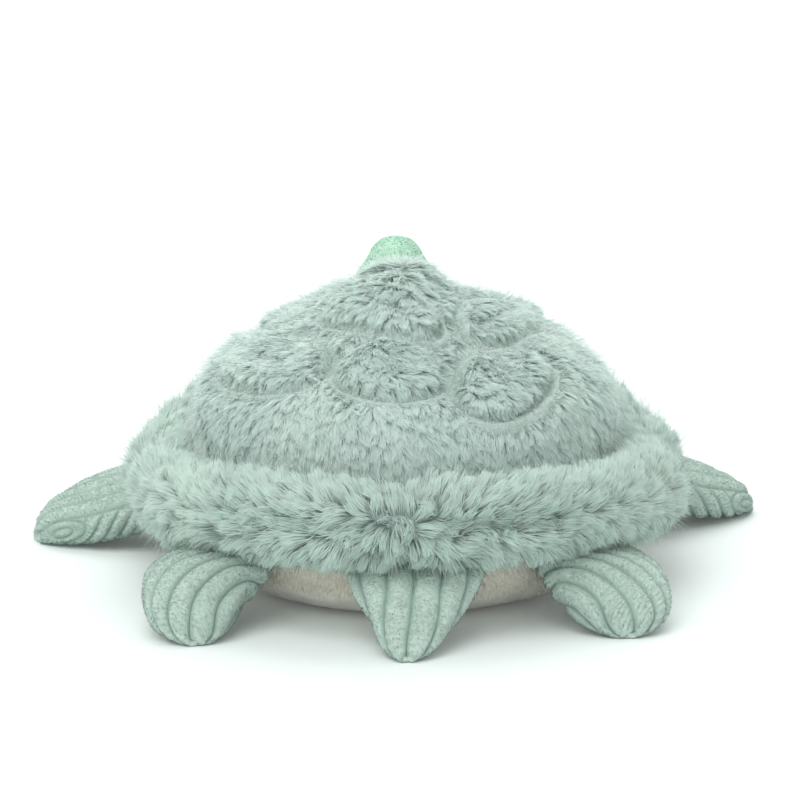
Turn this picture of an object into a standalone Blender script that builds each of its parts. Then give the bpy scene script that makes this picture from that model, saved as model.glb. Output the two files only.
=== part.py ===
# Plush turtle: a quilted fur shell over a stuffed body, a stuffed fur roll round its edge, a plush belly,
# four cord-plush flippers, a cord-plush tail, and a velour head with plastic eyes on a short neck.
# Metres, +Z up, +Y towards the head. The origin lies on the floor under the middle of the shell.

import math

import bmesh
import bpy
from mathutils import Matrix, Vector

# Fabrics and seams
PILE_WALL = 0.003
SHELL_WALL = 0.0065
PLUSH_WALL = 0.002
STITCH_GAP = 0.0003
STUFFING_GAP = 0.0006
SEAM_GAP = 0.0008
LIMB_SEAM_GAP = 0.0004

# Roll round the shell's edge
RIM_HALF_WIDTH = 0.0965
RIM_HALF_LENGTH = 0.106
RIM_RADIUS = 0.017
RIM_SIDE_HEIGHT = 0.038
RIM_REAR_HEIGHT = 0.045
RIM_FRONT_HEIGHT = 0.067
RIM_FRONT_POWER = 2
RIM_REAR_POWER = 2
RIM_MOUTH_DEGREES = 32

# Shell dome, as shares of its reach and of its rise, from its edge to its top
SHELL_HEIGHT = 0.126
SHELL_EDGE_INSET = 0.010
SHELL_PROFILE_SHARES = (
    (1.0, 0.0), (1.0, 0.22), (0.95, 0.38), (0.84, 0.50),
    (0.66, 0.62), (0.46, 0.76), (0.24, 0.91), (0.0, 1.0),
)

# Stitched scutes: centre, half width and half length, as shares of the rim's, and a turn in degrees
QUILT_DEPTH = 0.0035
QUILT_WIDTH = 0.0045
SCUTE_SHARES = (
    (-0.06, -0.735, 0.20, 0.115, 0), (-0.48, -0.575, 0.215, 0.13, -22), (0.42, -0.65, 0.168, 0.15, 0),
    (-0.04, -0.36, 0.265, 0.205, 0), (-0.57, -0.12, 0.19, 0.24, 8), (0.56, -0.14, 0.19, 0.22, -8),
    (0.0, 0.10, 0.27, 0.20, 0), (-0.46, 0.38, 0.20, 0.19, 30), (0.46, 0.38, 0.20, 0.19, -30),
    (0.0, 0.54, 0.24, 0.18, 0),
)

# Belly, as shares of its top edge's reach and height, from that edge to the flat
BELLY_EDGE_INSET = 0.003
BELLY_PROFILE_SHARES = ((1.0, 1.0), (0.985, 0.72), (0.93, 0.42), (0.83, 0.17), (0.72, 0.03), (0.64, 0.0))

# Limbs: length from the seam, greatest width and greatest thickness
FRONT_FLIPPER_LENGTH = 0.078
FRONT_FLIPPER_WIDTH = 0.056
FRONT_FLIPPER_THICKNESS = 0.020
REAR_FLIPPER_LENGTH = 0.052
REAR_FLIPPER_WIDTH = 0.052
REAR_FLIPPER_THICKNESS = 0.020
TAIL_LENGTH = 0.035
TAIL_WIDTH = 0.052
TAIL_THICKNESS = 0.015

# Limbs: place along the length, width and thickness, as shares, with the rounded tip after the last row
FRONT_FLIPPER_SHARES = (
    (0.0, 0.95, 0.38), (0.2, 1.0, 0.72), (0.45, 0.97, 1.0), (0.65, 0.89, 0.98),
    (0.82, 0.72, 0.84), (0.93, 0.50, 0.62), (0.985, 0.26, 0.32),
)
REAR_FLIPPER_SHARES = (
    (0.0, 1.0, 0.38), (0.2, 1.0, 0.72), (0.45, 0.95, 1.0), (0.65, 0.86, 1.0),
    (0.82, 0.72, 0.86), (0.93, 0.52, 0.64), (0.985, 0.28, 0.34),
)
TAIL_SHARES = (
    (0.0, 1.0, 0.40), (0.2, 0.94, 0.72), (0.45, 0.80, 1.0), (0.65, 0.66, 0.95),
    (0.82, 0.52, 0.78), (0.93, 0.38, 0.58), (0.985, 0.22, 0.32),
)
LIMB_DROP_POWER = 2.4
LIMB_TURN_SHARE = 0.45
LIMB_ROOT_INSET = 0.001
LIMB_ROOT_DEGREES = 12

# Where each limb is sewn in, as an angle round the shell, where it points, both in degrees from +X, and its
# share of the length, because each lies as it flopped
LIMB_PLACES = {
    "front_flipper_left": (155, 203, 0.90),
    "front_flipper_right": (38, 17, 1.0),
    "rear_flipper_left": (-133, -76, 1.0),
    "rear_flipper_right": (-47, -85, 0.78),
    "tail": (-88, -91, 1.0),
}

# Neck: a round root that nods in the belly's opening, and a bend up to the head's seam
NECK_ROOT_REACH = 0.096
NECK_ROOT_HEIGHT = 0.028
NECK_ROOT_RADIUS = 0.019
NECK_END_REACH = 0.150
NECK_END_HEIGHT = 0.062
NECK_END_SIDE = -0.004
NECK_END_RADIUS = 0.0175
NECK_LOW_HANDLE = 0.040
NECK_HIGH_HANDLE = 0.018
NECK_ROOT_TILT = 5
NECK_END_TILT = 80
NECK_CAP_DEGREES = 60
NECK_OPENING_REACH = 0.018
NECK_ROOM_DEGREES = 10

# Head, measured from the neck's seam: ring height, half width, back and front as shares
HEAD_HEIGHT = 0.047
HEAD_HALF_WIDTH = 0.0225
HEAD_BACK = 0.023
HEAD_FRONT = 0.034
HEAD_RING_SHARES = (
    (0.05, 0.80, 0.76, 0.66), (0.15, 0.91, 0.87, 0.92), (0.30, 0.98, 0.96, 1.0), (0.47, 1.0, 1.0, 0.97),
    (0.64, 0.84, 0.88, 0.80), (0.79, 0.62, 0.69, 0.58), (0.90, 0.43, 0.49, 0.39), (0.97, 0.23, 0.27, 0.21),
)

# Eyes
EYE_RADIUS = 0.004
EYE_RISE = 0.0028
EYE_SHANK_RADIUS = 0.0014
EYE_SHANK_LENGTH = 0.0058
EYE_HEIGHT_SHARE = 0.55
EYE_DEGREES = 42
WASHER_RADIUS = 0.0045
WASHER_THICKNESS = 0.0012
WASHER_DEPTH = 0.0009

# Facets
BODY_SEGMENTS = 54
PROFILE_STEPS = 2
ROLL_STEPS = 10
ROLL_LINING_STEPS = 6
WAIST_STEPS = 3
LIMB_SEGMENTS = 16
LIMB_STEPS = 2
NECK_SEGMENTS = 16
NECK_STEPS = 6
SOCKET_SUBDIVISIONS = 3
CAP_STEPS = 3
HEAD_SEGMENTS = 20
EYE_SEGMENTS = 16
EYE_STEPS = 4

# Finishes: linear colour and roughness
SAGE_FUR = ((0.50, 0.60, 0.56), 0.95)
SAGE_CORD = ((0.47, 0.57, 0.53), 0.9)
MINT_VELOUR = ((0.48, 0.75, 0.60), 0.9)
CREAM_PLUSH = ((0.83, 0.77, 0.71), 0.9)
WHITE_FIBRE = ((0.87, 0.87, 0.85), 1.0)
BLACK_PLASTIC = ((0.012, 0.012, 0.014), 0.15)
GREY_PLASTIC = ((0.55, 0.55, 0.56), 0.4)


def clear_scene():
    for old in list(bpy.data.objects):
        bpy.data.objects.remove(old, do_unlink=True)


def material(name, finish):
    colour, roughness = finish
    made = bpy.data.materials.new(name)
    made.use_nodes = True
    shader = made.node_tree.nodes["Principled BSDF"]
    shader.inputs["Base Color"].default_value = (*colour, 1.0)
    shader.inputs["Roughness"].default_value = roughness
    shader.inputs["Metallic"].default_value = 0.0
    return made


def add_object(name, bm, finish, parent=None):
    """A named, smooth-shaded object from a bmesh, with its faces pointing out and a material of its own."""
    bmesh.ops.recalc_face_normals(bm, faces=bm.faces)
    mesh = bpy.data.meshes.new(name)
    bm.to_mesh(mesh)
    bm.free()
    mesh.shade_smooth()
    mesh.materials.append(material(name, finish))
    made = bpy.data.objects.new(name, mesh)
    bpy.context.collection.objects.link(made)
    made.parent = parent
    return made


def add_empty(name, frame):
    made = bpy.data.objects.new(name, None)
    bpy.context.collection.objects.link(made)
    made.matrix_world = frame
    return made


def cut(target, cutter):
    cutter.hide_render = True
    cutter.display_type = "WIRE"
    modifier = target.modifiers.new("cut_" + cutter.name, "BOOLEAN")
    modifier.operation = "DIFFERENCE"
    modifier.solver = "EXACT"
    modifier.object = cutter


def skin_rings(rings, first_tip=None, last_tip=None, loop=False):
    """Faces from ring to ring, each quad split along its shorter diagonal, so that nested skins fold alike.

    An end gets a fan to its tip, a flat cap, or, in a loop, the other end.
    """
    bm = bmesh.new()
    rows = [[bm.verts.new(point) for point in ring] for ring in rings]
    pairs = list(zip(rows, rows[1:]))
    if loop:
        pairs.append((rows[-1], rows[0]))
    for low, high in pairs:
        count = len(low)
        for i in range(count):
            j = (i + 1) % count
            quad = (low[i], low[j], high[j], high[i])
            if (quad[0].co - quad[2].co).length > (quad[1].co - quad[3].co).length:
                quad = (quad[1], quad[2], quad[3], quad[0])
            bm.faces.new((quad[0], quad[1], quad[2]))
            bm.faces.new((quad[0], quad[2], quad[3]))
    if not loop:
        for row, tip in ((rows[0], first_tip), (rows[-1], last_tip)):
            if tip is None:
                bm.faces.new(row)
                continue
            pole = bm.verts.new(tip)
            for i in range(len(row)):
                bm.faces.new((row[i], row[(i + 1) % len(row)], pole))
    return bm


def smooth_curve(points, steps):
    """A Catmull-Rom curve through points, with this many steps from each to the next."""
    made = []
    last = len(points) - 1
    for i in range(last):
        before = Vector(points[max(i - 1, 0)])
        start = Vector(points[i])
        end = Vector(points[i + 1])
        after = Vector(points[min(i + 2, last)])
        for step in range(steps):
            t = step / steps
            made.append(
                0.5 * (2 * start + (end - before) * t
                       + (2 * before - 5 * start + 4 * end - after) * t ** 2
                       + (3 * start - before - 3 * end + after) * t ** 3)
            )
    made.append(Vector(points[last]))
    return made


def offset_curve(points, depth):
    """The 2-D curve moved by depth to its left, seen along its way."""
    made = []
    for i, point in enumerate(points):
        along = points[min(i + 1, len(points) - 1)] - points[max(i - 1, 0)]
        along.normalize()
        made.append(point + depth * Vector((-along.y, along.x)))
    return made


# The body's pieces share upright planes round the middle, so that each fits its neighbour in every plane.

def body_angles():
    return [2 * math.pi * i / BODY_SEGMENTS for i in range(BODY_SEGMENTS)]


def roll_centre(angle):
    """Distance from the middle, and height, of the roll's centre in the plane at this angle."""
    across = RIM_HALF_LENGTH * math.cos(angle)
    along = RIM_HALF_WIDTH * math.sin(angle)
    reach = RIM_HALF_WIDTH * RIM_HALF_LENGTH / math.hypot(across, along)
    front = max(0.0, math.sin(angle)) ** RIM_FRONT_POWER
    rear = max(0.0, -math.sin(angle)) ** RIM_REAR_POWER
    height = RIM_SIDE_HEIGHT
    height += front * (RIM_FRONT_HEIGHT - RIM_SIDE_HEIGHT)
    height += rear * (RIM_REAR_HEIGHT - RIM_SIDE_HEIGHT)
    return Vector((reach, height))


def roll_seat(angle, inset, side):
    """The point beside the roll, this far inside its centre, above it (side 1) or below it (side -1)."""
    rise = math.sqrt((RIM_RADIUS + STITCH_GAP) ** 2 - inset ** 2)
    return roll_centre(angle) + Vector((-inset, side * rise))


def in_plane(angle, point):
    return Vector((point.x * math.cos(angle), point.x * math.sin(angle), point.y))


def shell_profile(angle, depth=0.0, edge_depth=0.0):
    """The dome from its edge to its top, this deep under its face, and less deep where it is sewn on."""
    edge = roll_seat(angle, SHELL_EDGE_INSET, 1)
    rise = SHELL_HEIGHT - edge.y
    shares = smooth_curve(SHELL_PROFILE_SHARES, PROFILE_STEPS)
    face = [Vector((edge.x * share.x, edge.y + rise * share.y)) for share in shares]
    moved = offset_curve(face, depth)
    moved[0] = roll_seat(angle, SHELL_EDGE_INSET + edge_depth, 1)
    moved[-1] = Vector((0.0, SHELL_HEIGHT - depth))
    return moved


def belly_profile(angle, depth=0.0):
    """The belly from its top edge to its flat, this deep under its face."""
    edge = roll_seat(angle, BELLY_EDGE_INSET, -1)
    shares = smooth_curve(BELLY_PROFILE_SHARES, 1)
    face = [Vector((edge.x * share.x, edge.y * share.y)) for share in shares]
    moved = offset_curve(face, -depth)
    moved[0] = roll_seat(angle, BELLY_EDGE_INSET + depth, -1)
    moved[-1] = Vector((face[-1].x - depth, depth))
    return moved


def quilt_depth(point):
    """How far the stitched outlines of the scutes draw the dome in at this point."""
    deepest = 0.0
    for centre_x, centre_y, half_width, half_length, turn in SCUTE_SHARES:
        offset = Vector((point.x - centre_x * RIM_HALF_WIDTH, point.y - centre_y * RIM_HALF_LENGTH))
        offset.rotate(Matrix.Rotation(-math.radians(turn), 2))
        wide = half_width * RIM_HALF_WIDTH
        long = half_length * RIM_HALF_LENGTH
        out = (math.hypot(offset.x / wide, offset.y / long) - 1) * min(wide, long)
        deepest = max(deepest, QUILT_DEPTH * math.exp(-(out / QUILT_WIDTH) ** 2))
    return deepest


def make_shell_cover():
    outer = []
    inner = []
    for angle in body_angles():
        face = shell_profile(angle)
        drawn = [face[0]]
        for i in range(1, len(face) - 1):
            along = (face[i + 1] - face[i - 1]).normalized()
            depth = quilt_depth(in_plane(angle, face[i]))
            drawn.append(face[i] + depth * Vector((-along.y, along.x)))
        outer.append([in_plane(angle, point) for point in drawn])
        lining = shell_profile(angle, SHELL_WALL, PILE_WALL)
        inner.append([in_plane(angle, point) for point in lining[:-1]])
    lining_rows = reversed(range(0, len(inner[0]), PROFILE_STEPS))
    rings = [[meridian[row] for meridian in inner] for row in lining_rows]
    rings += [[meridian[row] for meridian in outer] for row in range(len(outer[0]))]
    bm = skin_rings(rings, Vector((0, 0, SHELL_HEIGHT - SHELL_WALL)), Vector((0, 0, SHELL_HEIGHT)))
    return add_object("shell_cover", bm, SAGE_FUR)


def make_rim_cover():
    """The roll's skin: a ring of C sections, open towards the body, where the stuffing goes in."""
    mouth = math.radians(RIM_MOUTH_DEGREES)
    turns = [(RIM_RADIUS, ROLL_STEPS, 1), (RIM_RADIUS - PILE_WALL, ROLL_LINING_STEPS, -1)]
    rings = []
    for angle in body_angles():
        centre = roll_centre(angle)
        ring = []
        for radius, steps, way in turns:
            for i in range(steps + 1):
                turn = way * (math.pi - mouth) * (2 * i / steps - 1)
                ring.append(in_plane(angle, centre + radius * Vector((math.cos(turn), math.sin(turn)))))
        rings.append(ring)
    return add_object("rim_cover", skin_rings(rings, loop=True), SAGE_FUR)


def make_rim_filling():
    radius = RIM_RADIUS - PILE_WALL - STUFFING_GAP
    half_turn = math.pi - math.radians(RIM_MOUTH_DEGREES)
    rings = []
    for angle in body_angles():
        centre = roll_centre(angle)
        ring = []
        for i in range(ROLL_LINING_STEPS + 1):
            turn = half_turn * (2 * i / ROLL_LINING_STEPS - 1)
            ring.append(in_plane(angle, centre + radius * Vector((math.cos(turn), math.sin(turn)))))
        rings.append(ring)
    return add_object("rim_filling", skin_rings(rings, loop=True), WHITE_FIBRE)


def make_belly_cover():
    outer, inner = (
        [[in_plane(angle, point) for point in belly_profile(angle, depth)] for angle in body_angles()]
        for depth in (0.0, PLUSH_WALL)
    )
    rows = range(len(outer[0]))
    rings = [[meridian[row] for meridian in inner] for row in reversed(rows)]
    rings += [[meridian[row] for meridian in outer] for row in rows]
    return add_object("belly_cover", skin_rings(rings), CREAM_PLUSH)


def make_body_filling():
    """Fibre that fills the dome, narrows inside the roll and widens again over the belly."""
    meridians = []
    for angle in body_angles():
        dome = shell_profile(angle, SHELL_WALL + STUFFING_GAP, PILE_WALL + STUFFING_GAP)[:-1:PROFILE_STEPS]
        belly = belly_profile(angle, PLUSH_WALL + STUFFING_GAP)
        centre = roll_centre(angle)
        above = dome[0] - centre
        below = belly[0] - centre
        first = math.atan2(above.y, -above.x)
        last = math.atan2(below.y, -below.x)
        step = (last - first) / WAIST_STEPS
        radius = (RIM_RADIUS + STITCH_GAP) / math.cos(step / 2)
        waist = []
        for i in range(WAIST_STEPS + 1):
            turn = first + step * i
            waist.append(centre + radius * Vector((-math.cos(turn), math.sin(turn))))
        profile = list(reversed(dome[1:])) + waist + belly[1:]
        meridians.append([in_plane(angle, point) for point in profile])
    rings = [[meridian[row] for meridian in meridians] for row in range(len(meridians[0]))]
    top = Vector((0, 0, SHELL_HEIGHT - SHELL_WALL - STUFFING_GAP))
    return add_object("body_filling", skin_rings(rings, first_tip=top), WHITE_FIBRE)


def limb_root(angle, thickness):
    """The limb's seam under the roll: its middle, its outward direction and its line."""
    spread = math.radians(LIMB_ROOT_DEGREES)
    ends = []
    for side in (-1, 1):
        turned = angle + side * spread
        ends.append(in_plane(turned, roll_centre(turned)))
    along = (ends[1] - ends[0]).normalized()
    outward = Vector((along.y, -along.x, 0)).normalized()
    centre = roll_centre(angle)
    drop = RIM_RADIUS + LIMB_SEAM_GAP + thickness / 2
    middle = in_plane(angle, centre + Vector((-LIMB_ROOT_INSET, -drop)))
    return middle, outward, along


def limb_rings(place, sizes, shares, steps, depth=0.0):
    """Oval rings, this deep under the face, from the seam down to the tip, and the tip."""
    length, width, thickness = sizes
    sewn, heading, length_share = place
    sewn = math.radians(sewn)
    heading = math.radians(heading)
    length *= length_share
    root_thickness = thickness * shares[0][2]
    root, outward, along = limb_root(sewn, root_thickness)
    pointing = Vector((math.cos(heading), math.sin(heading), 0))
    bend = root + outward * length * LIMB_TURN_SHARE
    tip = bend + pointing * length * (1 - LIMB_TURN_SHARE)
    root_low = root.z - root_thickness / 2
    rings = []
    if depth:
        shares = shares[:-1]
    for s, wide, thick in smooth_curve(shares, steps):
        reach = s * (length - depth) / length
        centre = root * (1 - reach) ** 2 + bend * 2 * reach * (1 - reach) + tip * reach ** 2
        way = ((bend - root) * (1 - reach) + (tip - bend) * reach).normalized()
        across = Vector((-way.y, way.x, along.z * (1 - reach))).normalized()
        low = STITCH_GAP + (root_low - STITCH_GAP) * (1 - reach) ** LIMB_DROP_POWER
        centre.z = low + thick * thickness / 2
        ring = []
        for i in range(LIMB_SEGMENTS):
            turn = 2 * math.pi * i / LIMB_SEGMENTS
            side = across * (wide * width / 2 - depth) * math.cos(turn)
            rise = Vector((0, 0, (thick * thickness / 2 - depth) * math.sin(turn)))
            ring.append(centre + side + rise)
        rings.append(ring)
    end = centre + way * (1 - s) * (length - depth)
    return rings, end


def make_limb(name, sizes, shares):
    """A cord-plush skin, open at its seam, and its stuffing, on an empty whose Y axis is the seam."""
    place = LIMB_PLACES[name]
    root, outward, along = limb_root(math.radians(place[0]), sizes[2] * shares[0][2])
    axes = Matrix((outward, along, outward.cross(along))).transposed().to_4x4()
    seam = add_empty(name + "_seam", Matrix.Translation(root) @ axes)
    into_seam = seam.matrix_world.inverted()

    outer, outer_tip = limb_rings(place, sizes, shares, LIMB_STEPS)
    inner, inner_tip = limb_rings(place, sizes, shares, 1, PLUSH_WALL)
    bm = skin_rings(list(reversed(inner)) + outer, inner_tip, outer_tip)
    bm.transform(into_seam)
    add_object(name + "_cover", bm, SAGE_CORD, seam)

    stuffing, tip = limb_rings(place, sizes, shares, 1, PLUSH_WALL + STUFFING_GAP)
    bm = skin_rings(stuffing, last_tip=tip)
    bm.transform(into_seam)
    add_object(name + "_filling", bm, WHITE_FIBRE, seam)


def neck_path():
    root = Vector((0, NECK_ROOT_REACH, NECK_ROOT_HEIGHT))
    end = Vector((NECK_END_SIDE, NECK_END_REACH, NECK_END_HEIGHT))
    low = math.radians(NECK_ROOT_TILT)
    high = math.radians(NECK_END_TILT)
    start_way = Vector((0, math.cos(low), math.sin(low)))
    end_way = Vector((0, math.cos(high), math.sin(high)))
    return root, root + start_way * NECK_LOW_HANDLE, end - end_way * NECK_HIGH_HANDLE, end


def neck_rings(depth=0.0):
    """Round rings: a ball-shaped root round the nod axis, then the bend up to the head's seam."""
    p0, p1, p2, p3 = neck_path()
    side = Vector((1, 0, 0))
    places = []
    for i in range(CAP_STEPS, 0, -1):
        turn = math.radians(NECK_CAP_DEGREES) * i / CAP_STEPS
        way = (p1 - p0).normalized()
        radius = NECK_ROOT_RADIUS - depth
        places.append((p0 - way * radius * math.sin(turn), way, radius * math.cos(turn)))
    for i in range(NECK_STEPS + 1):
        t = i / NECK_STEPS
        centre = p0 * (1 - t) ** 3 + p1 * 3 * t * (1 - t) ** 2 + p2 * 3 * t ** 2 * (1 - t) + p3 * t ** 3
        way = (p1 - p0) * (1 - t) ** 2 + (p2 - p1) * 2 * t * (1 - t) + (p3 - p2) * t ** 2
        radius = NECK_ROOT_RADIUS + (NECK_END_RADIUS - NECK_ROOT_RADIUS) * t - depth
        places.append((centre, way.normalized(), radius))
    rings = []
    for centre, way, radius in places:
        up = side.cross(way)
        turns = [2 * math.pi * i / NECK_SEGMENTS for i in range(NECK_SEGMENTS)]
        rings.append([centre + radius * (side * math.cos(turn) + up * math.sin(turn)) for turn in turns])
    return rings


def make_neck():
    """The neck's skin, a sleeve that opens into the body and into the head, and its stuffing."""
    root, _, _, end = neck_path()
    seam = add_empty("neck_seam", Matrix.Translation(root))
    bm = skin_rings(neck_rings() + list(reversed(neck_rings(PLUSH_WALL))), loop=True)
    bm.transform(seam.matrix_world.inverted())
    add_object("neck_cover", bm, MINT_VELOUR, seam)

    bm = skin_rings(neck_rings(PLUSH_WALL + STUFFING_GAP))
    bm.transform(seam.matrix_world.inverted())
    add_object("neck_filling", bm, WHITE_FIBRE, seam)


def make_neck_opening(targets):
    """The opening round the neck's ball-shaped root, which flares forward to leave room for the nod."""
    root, low_handle, _, _ = neck_path()
    radius = NECK_ROOT_RADIUS + SEAM_GAP
    flare = NECK_OPENING_REACH * math.tan(math.radians(NECK_ROOM_DEGREES))
    socket = bmesh.new()
    bmesh.ops.create_icosphere(
        socket, subdivisions=SOCKET_SUBDIVISIONS, radius=radius, matrix=Matrix.Translation(root),
    )
    mouth = bmesh.new()
    turn = (low_handle - root).to_track_quat("Z", "Y").to_matrix().to_4x4()
    bmesh.ops.create_cone(
        mouth, cap_ends=True, segments=2 * NECK_SEGMENTS, radius1=radius, radius2=radius + flare,
        depth=NECK_OPENING_REACH,
        matrix=Matrix.Translation(root) @ turn @ Matrix.Translation((0, 0, NECK_OPENING_REACH / 2)),
    )
    for name, bm in (("neck_socket", socket), ("neck_mouth", mouth)):
        cutter = add_object(name, bm, CREAM_PLUSH)
        for target in targets:
            cut(target, cutter)


def head_frame():
    """The head's own frame, in the middle of the neck's seam: +Z out of the neck and +Y to the snout."""
    _, _, bend, end = neck_path()
    up = (end - bend).normalized()
    side = Vector((1, 0, 0))
    axes = Matrix((side, up.cross(side), up)).transposed().to_4x4()
    return Matrix.Translation(end + up * STITCH_GAP) @ axes


def head_point(height, wide, back, front, turn, depth=0.0):
    """A point of the head's ring with these shares, at a turn from the head's right."""
    across = wide * HEAD_HALF_WIDTH - depth
    reach = (front * HEAD_FRONT if math.sin(turn) > 0 else back * HEAD_BACK) - depth
    return Vector((across * math.cos(turn), reach * math.sin(turn), height * (HEAD_HEIGHT - depth)))


def head_rings(steps, depth=0.0):
    seam = NECK_END_RADIUS
    first = (0.0, seam / HEAD_HALF_WIDTH, seam / HEAD_BACK, seam / HEAD_FRONT)
    turns = [2 * math.pi * i / HEAD_SEGMENTS for i in range(HEAD_SEGMENTS)]
    rings = []
    for shares in smooth_curve((first, *HEAD_RING_SHARES), steps):
        rings.append([head_point(*shares, turn, depth) for turn in turns])
    return rings


def eye_place(side):
    """The eye's frame, +Z out of the face. Side is 1 on the head's right and -1 on its left."""
    rows = list(HEAD_RING_SHARES)
    low = max(row for row in rows if row[0] <= EYE_HEIGHT_SHARE)
    high = min(row for row in rows if row[0] > EYE_HEIGHT_SHARE)
    t = (EYE_HEIGHT_SHARE - low[0]) / (high[0] - low[0])
    here = [a + (b - a) * t for a, b in zip(low, high)]
    turn = math.radians(EYE_DEGREES)
    spot = head_point(*here, turn)
    up = head_point(*high, turn) - head_point(*low, turn)
    next_turn = turn + 2 * math.pi / HEAD_SEGMENTS
    round_face = head_point(*here, next_turn) - head_point(*here, 2 * turn - next_turn)
    out = round_face.cross(up)
    if out.dot(spot) < 0:
        out.negate()
    out.normalize()
    across = up.cross(out).normalized()
    axes = Matrix((across, out.cross(across), out)).transposed().to_4x4()
    placed = Matrix.Translation(spot) @ axes
    if side < 0:
        placed = Matrix.Diagonal((-1, 1, 1, 1)) @ placed
    return placed


def turned(profile, segments):
    """Rings of a turned piece from its (radius, height) profile, and its two tips on the axis."""
    rings = []
    for radius, height in profile[1:-1]:
        turns = [2 * math.pi * i / segments for i in range(segments)]
        rings.append([Vector((radius * math.cos(turn), radius * math.sin(turn), height)) for turn in turns])
    return rings, Vector((0, 0, profile[0][1])), Vector((0, 0, profile[-1][1]))


def add_cylinder(name, radius, low, high, frame, parent):
    bm = bmesh.new()
    bmesh.ops.create_cone(
        bm, cap_ends=True, segments=EYE_SEGMENTS, radius1=radius, radius2=radius, depth=high - low,
        matrix=frame @ Matrix.Translation((0, 0, (high + low) / 2)),
    )
    return add_object(name, bm, GREY_PLASTIC, parent)


def make_eye(side_name, side, head, cover, stuffing):
    """A domed eye on a shank through the face, and the washer that holds it from inside."""
    frame = eye_place(side)
    profile = [(0.0, -EYE_SHANK_LENGTH), (EYE_SHANK_RADIUS, -EYE_SHANK_LENGTH)]
    profile += [(EYE_SHANK_RADIUS, STITCH_GAP), (EYE_RADIUS, STITCH_GAP)]
    for i in range(1, EYE_STEPS):
        turn = math.pi / 2 * i / EYE_STEPS
        profile.append((EYE_RADIUS * math.cos(turn), STITCH_GAP + EYE_RISE * math.sin(turn)))
    profile.append((0.0, STITCH_GAP + EYE_RISE))
    rings, low_tip, high_tip = turned(profile, EYE_SEGMENTS)
    bm = skin_rings(rings, low_tip, high_tip)
    bm.transform(frame)
    add_object("eye_" + side_name, bm, BLACK_PLASTIC, head)

    top = -PLUSH_WALL - WASHER_DEPTH
    bottom = top - WASHER_THICKNESS
    bore = EYE_SHANK_RADIUS + STITCH_GAP
    washer_profile = [(bore, bottom), (WASHER_RADIUS, bottom), (WASHER_RADIUS, top), (bore, top)]
    rings = turned([washer_profile[0], *washer_profile, washer_profile[-1]], EYE_SEGMENTS)[0]
    bm = skin_rings(rings, loop=True)
    bm.transform(frame)
    add_object("eye_washer_" + side_name, bm, GREY_PLASTIC, head)

    shank_hole = add_cylinder("shank_hole_" + side_name, bore, bottom, EYE_RISE, frame, head)
    cut(cover, shank_hole)
    pocket_low = -EYE_SHANK_LENGTH - WASHER_DEPTH
    pocket_radius = WASHER_RADIUS + SEAM_GAP
    pocket = add_cylinder("washer_pocket_" + side_name, pocket_radius, pocket_low, 0, frame, head)
    cut(stuffing, pocket)


def make_head():
    head = add_empty("head_seam", head_frame())
    outer = head_rings(PROFILE_STEPS)
    inner = head_rings(1, PLUSH_WALL)
    tip = Vector((0, 0, HEAD_HEIGHT))
    inner_tip = Vector((0, 0, HEAD_HEIGHT - PLUSH_WALL))
    bm = skin_rings(list(reversed(inner)) + outer, inner_tip, tip)
    cover = add_object("head_cover", bm, MINT_VELOUR, head)
    depth = PLUSH_WALL + STUFFING_GAP
    stuffing_tip = Vector((0, 0, HEAD_HEIGHT - depth))
    bm = skin_rings(head_rings(1, depth), last_tip=stuffing_tip)
    stuffing = add_object("head_filling", bm, WHITE_FIBRE, head)
    for side_name, side in (("left", -1), ("right", 1)):
        make_eye(side_name, side, head, cover, stuffing)


def main():
    clear_scene()
    make_shell_cover()
    make_rim_cover()
    make_rim_filling()
    belly = make_belly_cover()
    filling = make_body_filling()
    make_neck_opening((belly, filling))
    front_sizes = (FRONT_FLIPPER_LENGTH, FRONT_FLIPPER_WIDTH, FRONT_FLIPPER_THICKNESS)
    rear_sizes = (REAR_FLIPPER_LENGTH, REAR_FLIPPER_WIDTH, REAR_FLIPPER_THICKNESS)
    for side_name in ("left", "right"):
        make_limb("front_flipper_" + side_name, front_sizes, FRONT_FLIPPER_SHARES)
        make_limb("rear_flipper_" + side_name, rear_sizes, REAR_FLIPPER_SHARES)
    make_limb("tail", (TAIL_LENGTH, TAIL_WIDTH, TAIL_THICKNESS), TAIL_SHARES)
    make_neck()
    make_head()


main()
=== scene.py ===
import math

import bpy
import numpy as np
from mathutils import Matrix, Vector
from mathutils.kdtree import KDTree


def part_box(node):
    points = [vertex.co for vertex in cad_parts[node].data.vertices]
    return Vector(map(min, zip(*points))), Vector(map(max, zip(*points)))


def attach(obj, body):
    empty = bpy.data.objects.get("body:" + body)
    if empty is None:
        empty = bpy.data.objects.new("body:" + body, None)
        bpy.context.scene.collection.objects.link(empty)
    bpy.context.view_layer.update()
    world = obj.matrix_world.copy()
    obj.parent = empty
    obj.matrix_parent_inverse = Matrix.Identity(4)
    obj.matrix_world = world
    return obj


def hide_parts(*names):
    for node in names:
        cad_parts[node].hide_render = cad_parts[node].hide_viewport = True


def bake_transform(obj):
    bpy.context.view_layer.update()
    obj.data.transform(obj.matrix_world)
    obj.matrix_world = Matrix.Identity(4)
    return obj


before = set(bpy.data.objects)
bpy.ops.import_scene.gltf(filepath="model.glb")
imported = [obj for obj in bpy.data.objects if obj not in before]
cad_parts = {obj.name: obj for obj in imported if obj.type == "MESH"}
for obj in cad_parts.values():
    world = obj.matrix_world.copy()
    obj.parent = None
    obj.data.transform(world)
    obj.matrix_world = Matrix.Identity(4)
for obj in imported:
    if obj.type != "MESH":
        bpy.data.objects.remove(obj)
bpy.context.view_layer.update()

MM = 0.001
UP = np.array((0.0, 0.0, 1.0))

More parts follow.
